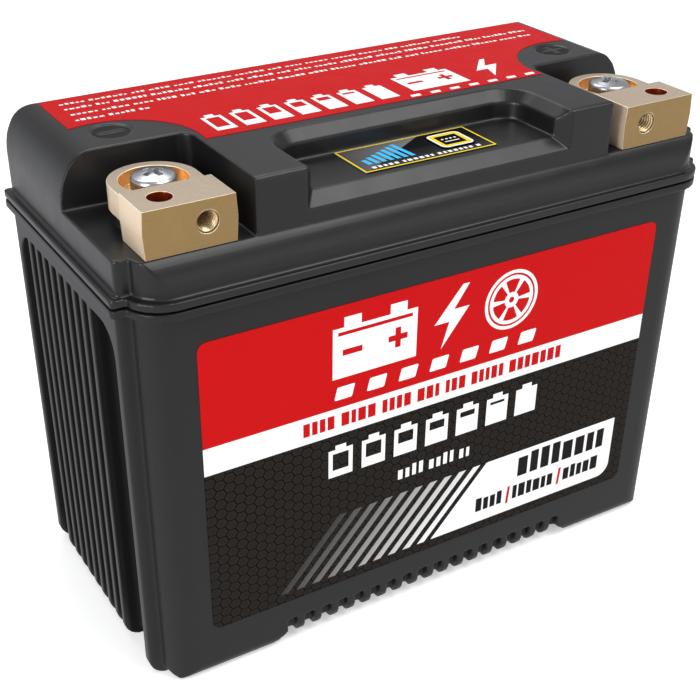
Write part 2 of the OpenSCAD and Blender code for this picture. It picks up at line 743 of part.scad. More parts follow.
module test_key() color([0.08, 0.08, 0.08]) {
    // cap, retaining flange under the lid, and the stem that presses the dome switch
    along_z(lid_under - 0.1 - eps, display_z + key_proud,
            round_box(key_x - key_w / 2, key_x + key_w / 2,
                      key_y - key_depth / 2, key_y + key_depth / 2, key_r, 4));
    along_z(lid_under - 0.1 - key_flange_t, lid_under - 0.1,
            round_box(key_x - key_w / 2 - key_flange, key_x + key_w / 2 + key_flange,
                      key_y - key_depth / 2 - key_flange, key_y + key_depth / 2 + key_flange,
                      key_r + key_flange, 4));
    rod(key_x, key_y, switch_top + key_travel + 0.1, lid_under - 0.5, key_stem_r);
}

// ---- assembly ----

container();
lid();
lid_seal();
front_label();
top_label();
display_overlay();
test_key();
terminal_block(-1);  // terminal_block_negative
terminal_block(1);  // terminal_block_positive
terminal_screw(-1);  // terminal_screw_negative
terminal_screw(1);  // terminal_screw_positive
terminal_insert(-1);  // terminal_insert_negative
terminal_insert(1);  // terminal_insert_positive
negative_bar();
positive_bar();
for (i = [0 : len(CELLS) - 1]) cell(i);
for (s = [0 : len(STRIPS) - 1]) bus_strip(s);
front_cell_holder();
back_cell_holder();
front_insulator();
back_insulator();
bottom_pad();
front_pad();
back_pad();
left_spacer();
right_spacer();
bms_board();
bms_mosfets();
bms_heat_plate();
bms_standoffs();
bms_screws();
balance_header();
balance_plug();
display_board();
display_leds();
dome_switch();
display_connector();
display_screws();
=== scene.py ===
"""Looks of a motorcycle starter battery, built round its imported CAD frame. Metres, Z up, label side at -Y."""

import json
import math

import bmesh
import bpy
from mathutils import Matrix, Vector


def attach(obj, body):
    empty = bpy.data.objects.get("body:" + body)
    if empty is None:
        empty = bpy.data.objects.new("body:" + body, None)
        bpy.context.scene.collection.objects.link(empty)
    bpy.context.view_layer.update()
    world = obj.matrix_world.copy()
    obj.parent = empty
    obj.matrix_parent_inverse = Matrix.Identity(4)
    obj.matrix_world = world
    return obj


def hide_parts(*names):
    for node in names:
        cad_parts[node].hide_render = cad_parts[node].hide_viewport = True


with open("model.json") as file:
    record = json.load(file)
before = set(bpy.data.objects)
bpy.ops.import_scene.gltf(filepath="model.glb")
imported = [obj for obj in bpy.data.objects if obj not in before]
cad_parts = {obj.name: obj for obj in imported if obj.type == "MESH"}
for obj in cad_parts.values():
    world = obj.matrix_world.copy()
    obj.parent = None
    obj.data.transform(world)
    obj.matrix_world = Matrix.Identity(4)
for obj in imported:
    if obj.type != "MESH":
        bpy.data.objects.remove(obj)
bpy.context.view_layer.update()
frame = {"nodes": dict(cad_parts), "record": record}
nodes = frame["nodes"]
scene = bpy.context.scene
MM = 0.001
BODY = "battery"
KEY_BODY = "test_key"

# Places and sizes that part.scad sets, in mm
FACE_Y = -41.3  # outer face of the front label
DECK_Z = 129.85
LABEL_TOP = 130.0
OVERLAY_TOP = 123.1
KEY_TOP = 123.35
KEY_X, KEY_Y = 10.2, -24.7
KEY_HALF_X, KEY_HALF_Y = 4.7, 4.4
SCREW_X, SCREW_Y = 64.1, -19.2
LUG_SEAT, LUG_TOP = 123.2, 126.4
TAPPED_X, TAPPED_Z, TAPPED_DEPTH = 60.35, 122.6, 10.0
THREAD_R = 2.1  # bore of the tapped holes, at the crests of the M5 thread
THROUGH_X, THROUGH_R = 68.3, 2.75
BLOCK_FRONT, BLOCK_BACK = -38.04, -26.03
DISC_X, DISC_Y = 64.2, 4.3
CASE_END_X = 81.1  # end faces of the case, with a recess of this half width and top
PANEL_HALF_W, PANEL_TOP = 31.0, 98.8

# Sizes of this script's own, in mm
THREAD_DEPTH, PITCH = 0.42, 0.8
HOLE_R = 2.62  # the tapped holes opened up for their thread sleeves
SEAT_REACH = 7.75  # just past the round wall of a screw seat
SCREW_TOP, SCREW_END = 128.16, 110.52
DOME_R, HEAD_R, SHANK_R = 4.2, 5.16, 2.9
SCREW_TURN = math.radians(20)
STRIPE_LOW, STRIPE_HIGH = 61.5, 69.0  # white stripe of the front label
HEX_ROW, HEX_COLUMN, HEX_LINE_W = 2.75, 2.6, 0.42
TAG_LOW, TAG_HIGH, TAG_RIGHT, TAG_R = 17.6, 36.9, 61.5, 4.0
SLANT = 0.892  # sideways run per unit of height of the tag's edge and stripes
STRIPE_END = -16.5  # where the tag's left edge would cross z = 0
INK_T = 0.02  # thickness of a print
INK_BLUR = 0.05
FILM_DROP = 0.04  # lowers the deck film, so its prints stay below the CAD's top
LEVELS = 7  # steps of every charge scale


# ---------- node materials ----------


class Tree:
    """Node tree of one new material, with its Principled shader."""

    def __init__(self, name, **sockets):
        self.name = name
        self.mat = bpy.data.materials.new(name)
        self.mat.use_nodes = True
        self.tree = self.mat.node_tree
        self.tree.nodes.clear()
        self.shader = self.add("ShaderNodeBsdfPrincipled", **sockets)
        self.link(self.shader.outputs[0], self.add("ShaderNodeOutputMaterial").inputs[0])
        self.where = self.add("ShaderNodeTexCoord").outputs["Object"]

    def link(self, a, b):
        self.tree.links.new(a, b)

    def add(self, kind, props=None, **sockets):
        n = self.tree.nodes.new(kind)
        for k, v in (props or {}).items():
            setattr(n, k, v)
        for k, v in sockets.items():
            self.put(n.inputs[k.replace("_", " ")], v)
        return n

    def put(self, socket, value):
        if isinstance(value, bpy.types.NodeSocket):
            self.link(value, socket)
        elif socket.type == "RGBA" and len(value) == 3:
            socket.default_value = (*value, 1)
        else:
            socket.default_value = value

    def math(self, op, a, b=0.0, c=0.0, clamp=False):
        n = self.add("ShaderNodeMath", {"operation": op, "use_clamp": clamp})
        for s, v in zip(n.inputs, (a, b, c)):
            self.put(s, v)
        return n.outputs[0]

    def vec(self, op, a, b=None):
        n = self.add("ShaderNodeVectorMath", {"operation": op})
        self.put(n.inputs[0], a)
        if b is not None:
            self.put(n.inputs[1], b)
        return n.outputs["Value"] if op in ("LENGTH", "DOT_PRODUCT") else n.outputs[0]

    def noise(self, size_mm, detail=2.0, stretch=(1, 1, 1), rough=0.5):
        """Noise with features of about size_mm, longer along the axes where stretch is large."""
        where = self.where
        if stretch != (1, 1, 1):
            where = self.vec("DIVIDE", where, stretch)
        return self.add("ShaderNodeTexNoise", Vector=where, Scale=1 / (size_mm * MM), Detail=detail,
                        Roughness=rough).outputs["Fac"]

    def mapped(self, value, low, high, start=0.3, end=0.7):
        n = self.add("ShaderNodeMapRange", From_Min=start, From_Max=end, To_Min=low, To_Max=high)
        self.put(n.inputs["Value"], value)
        return n.outputs["Result"]

    def past(self, value, start_mm, end_mm):
        """0 up to start_mm and 1 from end_mm."""
        return self.mapped(value, 0, 1, start_mm * MM, end_mm * MM)

    def short_of(self, value, start_mm, end_mm):
        """1 up to start_mm and 0 from end_mm."""
        return self.mapped(value, 1, 0, start_mm * MM, end_mm * MM)

    def axes(self, vector=None):
        n = self.add("ShaderNodeSeparateXYZ", Vector=self.where if vector is None else vector)
        return n.outputs[0], n.outputs[1], n.outputs[2]

    def mix(self, fac, a, b):
        n = self.add("ShaderNodeMix", {"data_type": "RGBA"})
        self.put(n.inputs["Factor"], fac)
        self.put(n.inputs[6], a)
        self.put(n.inputs[7], b)
        return n.outputs[2]

    def mottle(self, size_mm, colour, tone):
        return self.mix(self.noise(size_mm, 3), tinted(colour, 1 - tone), tinted(colour, 1 + tone))

    def bump(self, height, distance_mm):
        n = self.add("ShaderNodeBump", Strength=0.5, Distance=distance_mm * MM, Height=height)
        return n.outputs["Normal"]

    def set(self, **sockets):
        for k, v in sockets.items():
            self.put(self.shader.inputs[k.replace("_", " ")], v)


def tinted(colour, factor):
    return tuple(min(1.0, c * factor) for c in colour)


def moulded(name, colour=None, rough=(0.4, 0.52), grain_mm=0.32, depth_mm=0.008, tone=0.12, gloss=0.14):
    """Moulded plastic: fine spark-eroded grain, faint mottle and slightly uneven gloss. A material that
    sets its own colour or roughness passes None."""
    t = Tree(name, Specular_IOR_Level=gloss)
    t.set(Normal=t.bump(t.noise(grain_mm, 3, rough=0.6), depth_mm))
    if colour:
        t.set(Base_Color=t.mottle(14, colour, tone))
    if rough:
        t.set(Roughness=t.mapped(t.noise(6, 4), *rough))
    return t


def inked(name, colour=None, rough=(0.3, 0.4), gloss=0.04):
    """Printed ink on film: even colour with a trace of mottle."""
    return moulded(name, colour, rough, 0.5, 0.002, 0.03, gloss)


def machined(name, colour=None, rough=(0.2, 0.34), along=(14, 1, 1), line_mm=0.07, depth_mm=0.004,
             metallic=1.0):
    """Metal with fine tool lines along one axis. A material that sets its own colour passes None."""
    t = Tree(name, Metallic=metallic)
    lines = t.noise(line_mm, 3, along)
    t.set(Roughness=t.mapped(lines, *rough), Normal=t.bump(lines, depth_mm))
    if colour:
        t.set(Base_Color=t.mottle(5, colour, 0.07))
    return t


def brass_block():
    """Machined brass with painted light by face direction: pale lit ends, a duller top, an olive shaded front,
    and a painted highlight where edges are broken.
    """
    t = machined("terminal_brass", None, (0.26, 0.36), (16, 1, 1), 0.09, 0.005, metallic=0.4)
    normal = t.add("ShaderNodeNewGeometry").outputs["True Normal"]
    front = t.math("MULTIPLY", t.vec("DOT_PRODUCT", normal, (0, -1, 0)), 1.0, clamp=True)
    rise = t.vec("DOT_PRODUCT", normal, (0, 0, 1))
    upper = t.math("MULTIPLY", rise, 1.0, clamp=True)
    wear = t.noise(4, 3)
    # painted light by face direction: pale, lit colour on the ends, a duller one on top, olive painted shade on
    # the front
    end_painted_light = t.mix(wear, (0.75, 0.6, 0.43), (0.79, 0.64, 0.46))
    top_painted_light = t.mix(wear, (0.48, 0.38, 0.285), (0.52, 0.42, 0.315))
    front_painted_shade = t.mix(wear, (0.26, 0.165, 0.058), (0.3, 0.19, 0.07))
    colour = t.mix(t.math("POWER", upper, 3), end_painted_light, top_painted_light)
    colour = t.mix(t.math("POWER", front, 3), colour, front_painted_shade)
    # painted highlight: the broken edges, the faces that are neither level nor upright, get a bright colour
    slope = t.math("ABSOLUTE", rise)
    edge = t.math("MULTIPLY", t.mapped(slope, 0, 1, 0.2, 0.3), t.mapped(slope, 1, 0, 0.93, 0.98))
    t.set(Base_Color=t.mix(edge, colour, (0.95, 0.84, 0.66)))
    return t


def threaded_brass():
    """Brass of a tapped bore with painted light: a painted highlight on the crests and painted shade in the
    roots.
    """
    t = machined("thread_brass", None, (0.2, 0.3), (1, 1, 1), 0.3, 0.001, metallic=0.5)
    x, _, z = t.axes()
    across = t.math("SUBTRACT", t.math("ABSOLUTE", x), TAPPED_X * MM)
    up = t.math("SUBTRACT", z, TAPPED_Z * MM)
    radius = t.vec("LENGTH", t.add("ShaderNodeCombineXYZ", X=across, Y=up).outputs[0])
    # painted shade in the thread roots and a painted highlight on the crests, set by distance from the bore's
    # axis
    root_shade = t.past(radius, THREAD_R + 0.06, THREAD_R + 0.36)
    t.set(Base_Color=t.mix(root_shade, (0.95, 0.74, 0.42), (0.16, 0.07, 0.02)))
    return t


HEX_FILL, HEX_RIM, HEX_LINE = (0.0165, 0.0135, 0.011), (0.024, 0.02, 0.0165), (0.0045, 0.0035, 0.003)
RED, WHITE, DARK = (0.485, 0.0045, 0.0055), (0.84, 0.84, 0.84), (0.012, 0.01, 0.01)
WINDOW_BLACK = (0.004, 0.004, 0.005)


def honeycomb(t):
    """Colour of a printed honeycomb in the XZ plane: dark cells with a paler rim, and darker lines."""
    half = (math.sqrt(3) / 2, 0.5, 0)
    x, _, z = t.axes(t.vec("MULTIPLY", t.where, (half[0] / (HEX_COLUMN * MM), 0, 1 / (HEX_ROW * MM))))
    flat = t.add("ShaderNodeCombineXYZ", X=x, Y=z).outputs[0]
    reach = []
    for shift in ((0, 0, 0), half):
        n = t.add("ShaderNodeVectorMath", {"operation": "WRAP"})
        t.put(n.inputs[0], t.vec("SUBTRACT", flat, shift))
        n.inputs[1].default_value = (half[0], half[1], 1)
        n.inputs[2].default_value = (-half[0], -half[1], -1)
        across, up, _ = t.axes(t.vec("ABSOLUTE", n.outputs[0]))
        slant = t.math("MULTIPLY_ADD", across, half[0], t.math("MULTIPLY", up, 0.5))
        reach.append(t.math("MAXIMUM", slant, up))
    d = t.math("MINIMUM", *reach)
    edge = 0.5 - HEX_LINE_W / HEX_ROW / 2
    line, rim = (t.mapped(d, 0, 1, at - 0.02, at + 0.02) for at in (edge, edge - 0.08))
    return t.mix(line, t.mix(rim, HEX_FILL, HEX_RIM), HEX_LINE)


def front_film():
    """Front label: red band, white stripe and honeycomb field."""
    t = inked("label_film")
    z = t.axes()[2]
    lower = t.mix(t.past(z, STRIPE_LOW - INK_BLUR, STRIPE_LOW + INK_BLUR), honeycomb(t), WHITE)
    t.set(Base_Color=t.mix(t.past(z, STRIPE_HIGH - INK_BLUR, STRIPE_HIGH + INK_BLUR), lower, RED))
    return t


def fading_ink():
    """Stripes that fade out over the honeycomb, away from the white tag."""
    t = inked("fading_ink")
    x, _, z = t.axes()
    along = t.math("SUBTRACT", x, t.math("MULTIPLY", z, SLANT))
    fade = t.math("POWER", t.mapped(along, 0.2, 1, (STRIPE_END - 47) * MM, STRIPE_END * MM), 2.1)
    t.set(Base_Color=t.mix(fade, honeycomb(t), WHITE))
    return t


def overlay_film():
    """Display window: glossy black with a painted grey sheen, a painted reflection, left of a slanted edge."""
    t = inked("overlay_film", None, (0.12, 0.2), gloss=0.3)
    x, y, _ = t.axes()
    edge = t.math("SUBTRACT", x, t.math("MULTIPLY", y, 1.6))
    grey = t.mix(t.past(x, -18, 4), (0.07,) * 3, (0.2,) * 3)
    # painted reflection: the base colour turns grey left of the slanted edge
    t.set(Base_Color=t.mix(t.short_of(edge, 34.2, 34.5), WINDOW_BLACK, grey))
    return t


def case_moulding():
    """Case plastic, rougher and with painted shade, a darker base colour, deep in the end recesses."""
    t = moulded("case_plastic", None, None, 0.5, 0.018, gloss=0.3)
    x, y, z = t.axes()
    reach, across = t.math("ABSOLUTE", x), t.math("ABSOLUTE", y)
    sunk = t.short_of(reach, CASE_END_X - 1.9, CASE_END_X - 0.7)
    at_end = t.past(reach, CASE_END_X - 9.1, CASE_END_X - 7.1)
    between = t.short_of(across, PANEL_HALF_W, PANEL_HALF_W + 0.3)
    below = t.short_of(z, PANEL_TOP - 0.1, PANEL_TOP + 0.4)
    # painted shade: near-black base colour deep inside the end recesses
    inside = t.math("MULTIPLY", t.math("MULTIPLY", sunk, at_end), t.math("MULTIPLY", between, below))
    open_colour = t.mix(t.noise(14, 3), (0.0105,) * 3, (0.013,) * 3)
    t.set(Base_Color=t.mix(inside, open_colour, (0.003,) * 3), Roughness=t.mapped(inside, 0.4, 1.0, 0, 1))
    return t


# ---------- materials by record slot ----------

case_plastic = case_moulding().mat
lid_plastic = moulded("lid_plastic", (0.0085, 0.0085, 0.009), (0.29, 0.36), 0.45, 0.011, gloss=0.42).mat
disc_plastic = moulded("disc_plastic", (0.0075, 0.0075, 0.008), (0.45, 0.55)).mat
seal_rubber = moulded("seal_rubber", (0.006, 0.006, 0.006), (0.6, 0.75), gloss=0.1).mat
brass = brass_block()
thread_brass = threaded_brass().mat
bore_brass = machined("bore_brass", (0.75, 0.2, 0.06), (0.25, 0.35), (1, 1, 1), 0.3).mat
seat_brass = machined("seat_brass", (0.9, 0.62, 0.33), (0.3, 0.4), (1, 1, 1), 0.6, 0.001).mat
steel = machined("screw_steel", (0.5, 0.51, 0.53), (0.26, 0.34), (1, 1, 1), 0.4, 0.002)
white_ink = inked("white_ink", WHITE).mat
red_ink = inked("red_ink", RED).mat
dark_ink = inked("dark_ink", DARK).mat
yellow_ink = inked("yellow_ink", (0.82, 0.6, 0.02)).mat
cyan_ink = inked("cyan_ink", (0.06, 0.46, 0.82)).mat
fade_ink = fading_ink().mat
slot_material = {t.name: t.mat for t in (
    front_film(), overlay_film(), brass, steel,
    inked("key_plastic", WINDOW_BLACK, (0.14, 0.22)),
    machined("bar_copper", (0.8, 0.42, 0.27)),
    machined("strip_nickel", (0.66, 0.63, 0.57)),
    machined("heat_aluminium", (0.75, 0.75, 0.76), along=(20, 1, 1)),
    machined("dome_steel", (0.7, 0.7, 0.72), (0.15, 0.25)),
    moulded("cell_sleeve", (0.02, 0.12, 0.3), (0.18, 0.3), 1.5, 0.02),
    moulded("holder_plastic", (0.025, 0.025, 0.025)),
    moulded("insulator_board", (0.55, 0.48, 0.3), (0.5, 0.7), 0.6),
    moulded("foam", (0.06, 0.06, 0.063), (0.8, 0.95), 0.8, 0.3),
    moulded("spacer_foam", (0.7, 0.69, 0.64), (0.75, 0.9), 2.5, 0.5),
    moulded("circuit_board", (0.008, 0.1, 0.035), (0.2, 0.35), 0.9),
    moulded("chip_plastic", (0.018, 0.018, 0.018)),
    moulded("connector_plastic", (0.76, 0.72, 0.6)),
    moulded("led_lens", (0.3, 0.75, 0.85), (0.1, 0.2)),
)}
slot_material.update(case_plastic=case_plastic, lid_plastic=lid_plastic, seal_rubber=seal_rubber)


def dress(obj, material):
    obj.data.materials.clear()
    obj.data.materials.append(material)


for part in frame["record"]["subparts"]:
    if part["material_slot"] in slot_material:
        dress(nodes[part["node"]], slot_material[part["material_slot"]])


# ---------- pieces ----------


def placed(name, data):
    obj = bpy.data.objects.new(name, data)
    scene.collection.objects.link(obj)
    return obj


def new_piece(name, mesh, material, body=BODY, stands_for=None):
    piece = placed(name, mesh)
    dress(piece, material)
    if stands_for:
        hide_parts(stands_for)
    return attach(piece, body)


def mesh_of(bm, name):
    mesh = bpy.data.meshes.new(name)
    bm.to_mesh(mesh)
    bm.free()
    return mesh


def settled(temp):
    """The final mesh of a temporary object, which is removed."""
    made = bpy.data.meshes.new_from_object(temp.evaluated_get(bpy.context.evaluated_depsgraph_get()))
    bpy.data.objects.remove(temp)
    return made


def worked(mesh, modifiers):
    """A mesh after modifiers, each given as (type, settings)."""
    temp = placed("temp", mesh)
    for kind, settings in modifiers:
        m = temp.modifiers.new(kind.lower(), kind)
        for k, v in settings.items():
            setattr(m, k, v)
    return settled(temp)


def shaded(mesh):
    """Smooth shading that keeps large faces flat."""
    mesh.shade_smooth()
    return worked(mesh, [("WEIGHTED_NORMAL", {"keep_sharp": False, "weight": 80})])


def bevelled(mesh, width_mm, degrees):
    """Edges sharper than an angle broken by a small round bevel."""
    return shaded(worked(mesh, [("BEVEL", {"width": width_mm * MM, "segments": 2, "limit_method": "ANGLE",
                                           "angle_limit": math.radians(degrees)})]))


def softened(node, voxel_mm, rounds, ratio):
    """Mesh of a CAD moulding with every edge rounded, as a moulding's edges are."""
    bm = bmesh.new()
    bm.from_mesh(nodes[node].data)
    bmesh.ops.remove_doubles(bm, verts=bm.verts, dist=1e-6)
    return shaded(worked(mesh_of(bm, node + "_soft"), [
        ("REMESH", {"mode": "VOXEL", "voxel_size": voxel_mm * MM}),
        ("SMOOTH", {"iterations": rounds, "factor": 0.5}),
        ("DECIMATE", {"ratio": ratio}),
    ]))


new_piece("case_body", softened("container", 0.36, 2, 0.085), case_plastic,
          stands_for="container")
new_piece("lid_body", softened("lid", 0.32, 2, 0.18), lid_plastic, stands_for="lid")

film = nodes["top_label"].data.copy()
for v in film.vertices:
    if v.co.z > (DECK_Z + 0.05) * MM:
        v.co.z -= FILM_DROP * MM
new_piece("deck_film", film, red_ink, stands_for="top_label")


# ---------- terminals ----------


def grid_mesh(name, rings):
    """Closed tube through rings of points; the last ring joins the first."""
    bm = bmesh.new()
    rows = [[bm.verts.new(Vector(p) * MM) for p in ring] for ring in rings]
    for a, b in zip(rows, rows[1:] + rows[:1]):
        for i in range(len(a)):
            j = (i + 1) % len(a)
            bm.faces.new((a[i], a[j], b[j], b[i]))
    bmesh.ops.recalc_face_normals(bm, faces=bm.faces)
    return mesh_of(bm, name)


def thread_sleeve(name, x):
    """Sleeve with the M5 thread cut in its bore, lining the tapped hole."""
    turns, steps, per_pitch = 48, 12, 8
    length = steps * PITCH
    rings = []
    for k in range(steps * per_pitch + 1):
        y = BLOCK_FRONT + 0.05 + k * PITCH / per_pitch
        mouth = max(0.0, 0.45 - (y - BLOCK_FRONT))
        ring = []
        for i in range(turns):
            phase = (k / per_pitch + i / turns) % 1.0
            r = min(THREAD_R + THREAD_DEPTH * abs(2 * phase - 1) + mouth, HOLE_R - 0.05)
            a = 2 * math.pi * i / turns
            ring.append((x + r * math.cos(a), y, TAPPED_Z + r * math.sin(a)))
        rings.append(ring)
    for y in (BLOCK_FRONT + 0.05 + length, BLOCK_FRONT + 0.05):
        r = HOLE_R - 0.01
        angles = [2 * math.pi * i / turns for i in range(turns)]
        rings.append([(x + r * math.cos(a), y, TAPPED_Z + r * math.sin(a)) for a in angles])
    return grid_mesh(name, rings)


def block_mesh(node, side):
    """CAD terminal block with its tapped hole opened to the thread's outer size and its edges broken."""
    bm = bmesh.new()
    bm.from_mesh(nodes[node].data)
    bmesh.ops.remove_doubles(bm, verts=bm.verts, dist=1e-6)
    centre = Vector((side * TAPPED_X, 0, TAPPED_Z)) * MM
    for v in bm.verts:
        off = Vector((v.co.x - centre.x, 0, v.co.z - centre.z))
        in_bore = v.co.y < (BLOCK_FRONT + TAPPED_DEPTH + 1) * MM
        if in_bore and abs(off.length - THREAD_R * MM) < 0.06 * MM:
            v.co += off * (HOLE_R / THREAD_R - 1)
    bmesh.ops.dissolve_limit(bm, angle_limit=0.01, verts=bm.verts, edges=bm.edges)
    return bevelled(mesh_of(bm, node + "_worked"), 0.22, 30)


def paint_bores(mesh, side):
    """Deeper brass in the screw seat and in the plain hole."""
    mesh.materials.append(seat_brass)
    mesh.materials.append(bore_brass)
    for p in mesh.polygons:
        c = p.center / MM
        in_seat = math.hypot(c.x - side * SCREW_X, c.y - SCREW_Y)
        in_hole = math.hypot(c.x - side * THROUGH_X, c.y - (BLOCK_FRONT + BLOCK_BACK) / 2)
        sunk = LUG_SEAT - 0.4 < c.z < LUG_TOP - 0.3
        if in_seat < SEAT_REACH and c.y > BLOCK_BACK - 0.1 and sunk:
            p.material_index = 1
        elif in_hole < THROUGH_R + 0.05 and abs(p.normal.z) < 0.5:
            p.material_index = 2


def lathe(name, profile, x, y, turns=64):
    """Solid of revolution about a vertical axis; the profile runs from axis to axis as (r, z)."""
    bm = bmesh.new()
    ends = [bm.verts.new(Vector((x, y, profile[k][1])) * MM) for k in (0, -1)]
    rows = [[bm.verts.new(Vector((x + r * math.cos(a), y + r * math.sin(a), z)) * MM)
             for a in (2 * math.pi * i / turns for i in range(turns))] for r, z in profile[1:-1]]
    for i in range(turns):
        j = (i + 1) % turns
        bm.faces.new((ends[0], rows[0][j], rows[0][i]))
        bm.faces.new((ends[1], rows[-1][i], rows[-1][j]))
        for a, b in zip(rows, rows[1:]):
            bm.faces.new((a[i], a[j], b[j], b[i]))
    bmesh.ops.recalc_face_normals(bm, faces=bm.faces)
    return mesh_of(bm, name)


def tapered_slot(x, y, z0, z1, turn):
    """One bar of the driver cross, wider and longer at the top."""
    mesh = bpy.data.meshes.new("slot")
    low, high = (1.7, 0.5), (3.0, 0.8)
    corners = [(sx * a, sy * b, z) for (a, b), z in ((low, z0), (high, z1))
               for sx, sy in ((-1, -1), (1, -1), (1, 1), (-1, 1))]
    spin = Matrix.Rotation(turn, 4, "Z")
    mesh.from_pydata([(Vector((x, y, 0)) + spin @ Vector(c)) * MM for c in corners], [],
                     [(3, 2, 1, 0), (4, 5, 6, 7), (0, 1, 5, 4), (1, 2, 6, 5), (2, 3, 7, 6), (3, 0, 4, 7)])
    return mesh


def screw_mesh(name, x):
    """Pan-head screw with a domed top and a tapered cross."""
    head = [(DOME_R * i / 6, SCREW_TOP - 0.75 * (i / 6) ** 2) for i in range(7)]
    rim = [(DOME_R + (HEAD_R - DOME_R) * math.sin(a), SCREW_TOP - 1.85 + 1.1 * math.cos(a))
           for a in (math.pi / 2 * k / 6 for k in range(1, 7))]
    under_head = LUG_SEAT + 0.02
    profile = head + rim + [(HEAD_R, LUG_SEAT + 0.35), (HEAD_R - 0.21, under_head), (SHANK_R, under_head),
                            (SHANK_R, SCREW_END + 0.38), (SHANK_R - 0.4, SCREW_END), (0, SCREW_END)]
    cutters = [placed("cutter", tapered_slot(x, SCREW_Y, SCREW_TOP - 1.9, SCREW_TOP + 0.4, SCREW_TURN + turn))
               for turn in (0, math.pi / 2)]
    cut = {"operation": "DIFFERENCE", "solver": "EXACT"}
    made = worked(lathe(name, profile, x, SCREW_Y), [("BOOLEAN", {"object": c, **cut}) for c in cutters])
    for c in cutters:
        bpy.data.objects.remove(c)
    return bevelled(made, 0.12, 32)


for side, end in ((-1, "negative"), (1, "positive")):
    node = "terminal_block_" + end
    block = new_piece("brass_block_" + end, block_mesh(node, side), brass.mat,
                      stands_for=node)
    paint_bores(block.data, side)
    new_piece("thread_" + end, thread_sleeve("thread_" + end, side * TAPPED_X), thread_brass)
    new_piece("cross_screw_" + end, screw_mesh("cross_screw_" + end, side * SCREW_X), steel.mat,
              stands_for="terminal_screw_" + end)


# ---------- printed graphics ----------


def box(x0, y0, x1, y1, r=0.0, lean=0.0):
    """Loop of a rectangle with round corners, leaning by lean per unit of height."""
    if r == 0:
        pts = [(x0, y0), (x1, y0), (x1, y1), (x0, y1)]
    else:
        corners = ((x1 - r, y0 + r, 3), (x1 - r, y1 - r, 0), (x0 + r, y1 - r, 1), (x0 + r, y0 + r, 2))
        pts = [(cx + r * math.cos(a), cy + r * math.sin(a)) for cx, cy, q in corners
               for a in (math.pi / 2 * (q + k / 6) for k in range(7))]
    return [(x + lean * (y - y0), y) for x, y in pts]


def disc(x, y, r, n=40):
    return [(x + r * math.cos(2 * math.pi * i / n), y + r * math.sin(2 * math.pi * i / n)) for i in range(n)]


def cross(x, y, reach, half):
    a, b = reach, half
    return [(x + u, y + v) for u, v in ((a, -b), (a, b), (b, b), (b, a), (-b, a), (-b, b), (-a, b), (-a, -b),
                                        (-b, -b), (-b, -a), (b, -a), (b, -b))]


def marks(x0, x1, y, height, width, gap, word, seed, tall=0.35):
    """Row of plain blocks of uneven width, in groups, in place of a line of wording. The lower blocks
    lack the share tall of the height, and k runs through a fixed sequence that starts from seed."""
    loops, x, k, left = [], x0, seed, word
    while x < x1 - width * 0.5:
        k = (k * 1103515245 + 12345) % 2 ** 31
        w = min(width * (0.7 + 0.6 * (k >> 16) / 32768), x1 - x)
        h = height * (1.0 if (k >> 12) % 5 < 2 else 1 - tall)
        loops.append(box(x, y, x + w, y + h))
        left -= 1
        x += w + (gap if left else gap + width * 0.8)
        if not left:
            left = 3 + (k >> 9) % 5
    return loops


PLANES = {
    "front": (Matrix(((1, 0, 0), (0, 0, -1), (0, 1, 0))), Vector((0, FACE_Y, 0))),
    "deck": (Matrix.Identity(3), Vector((0, 0, LABEL_TOP - FILM_DROP + 0.005))),
    "overlay": (Matrix.Identity(3), Vector((0, 0, OVERLAY_TOP))),
    "key": (Matrix.Identity(3), Vector((0, 0, KEY_TOP))),
    "disc": (Matrix.Identity(3), Vector((0, 0, DECK_Z - 0.42))),
}


def printed(name, loops, plane, ink, body=BODY, thick=INK_T, lift=0.0):
    """Thin raised print from loops in mm on one of the planes; a loop inside another is a hole."""
    curve = bpy.data.curves.new(name, "CURVE")
    curve.dimensions, curve.fill_mode = "2D", "BOTH"
    curve.extrude = thick / 2 * MM
    for loop in loops:
        line = curve.splines.new("POLY")
        line.points.add(len(loop) - 1)
        for p, (u, v) in zip(line.points, loop):
            p.co = (u * MM, v * MM, 0, 1)
        line.use_cyclic_u = True
    flat = settled(placed("temp", curve))
    turn, origin = PLANES[plane]
    bm = bmesh.new()
    bm.from_mesh(flat)
    for v in bm.verts:
        v.co = turn @ (v.co + Vector((0, 0, (thick / 2 + lift) * MM))) + origin * MM
    bmesh.ops.remove_doubles(bm, verts=bm.verts, dist=1e-7)
    bmesh.ops.recalc_face_normals(bm, faces=bm.faces)
    return new_piece(name, mesh_of(bm, name), ink, body)


def wheel(x, y, r, spokes):
    """Spoked wheel: tyre, rim, spokes and hub."""
    loops = [disc(x, y, r), disc(x, y, r * 0.89), disc(x, y, r * 0.82), disc(x, y, r * 0.1)]
    for s in range(spokes):
        a0, a1 = (2 * math.pi * (s + f) / spokes for f in (0.12, 0.88))
        outer = [(r * 0.7, a0 + (a1 - a0) * k / 8) for k in range(9)]
        inner = [(r * 0.26, a1 + (a0 - a1) * k / 4) for k in range(5)]
        loops.append([(x + q * math.cos(a), y + q * math.sin(a)) for q, a in outer + inner])
    return loops


def battery_sign(x0, y0, x1, y1):
    """Block battery seen from the front, with a minus and a plus knocked out."""
    w, h = x1 - x0, y1 - y0
    top, post = y0 + h * 0.84, w * 0.2
    a, b = x0 + w * 0.13, x1 - w * 0.13
    body = [(x0, y0), (x1, y0), (x1, top), (b, top), (b, y1), (b - post, y1), (b - post, top),
            (a + post, top), (a + post, y1), (a, y1), (a, top), (x0, top)]
    mid, reach, half = y0 + h * 0.42, h * 0.17, h * 0.05
    minus = box(a + post / 2 - reach, mid - half, a + post / 2 + reach, mid + half)
    lid_line = box(x0 + w * 0.06, top - h * 0.13, x1 - w * 0.06, top - h * 0.07)
    return [body, minus, cross(b - post / 2, mid, reach, half), lid_line]


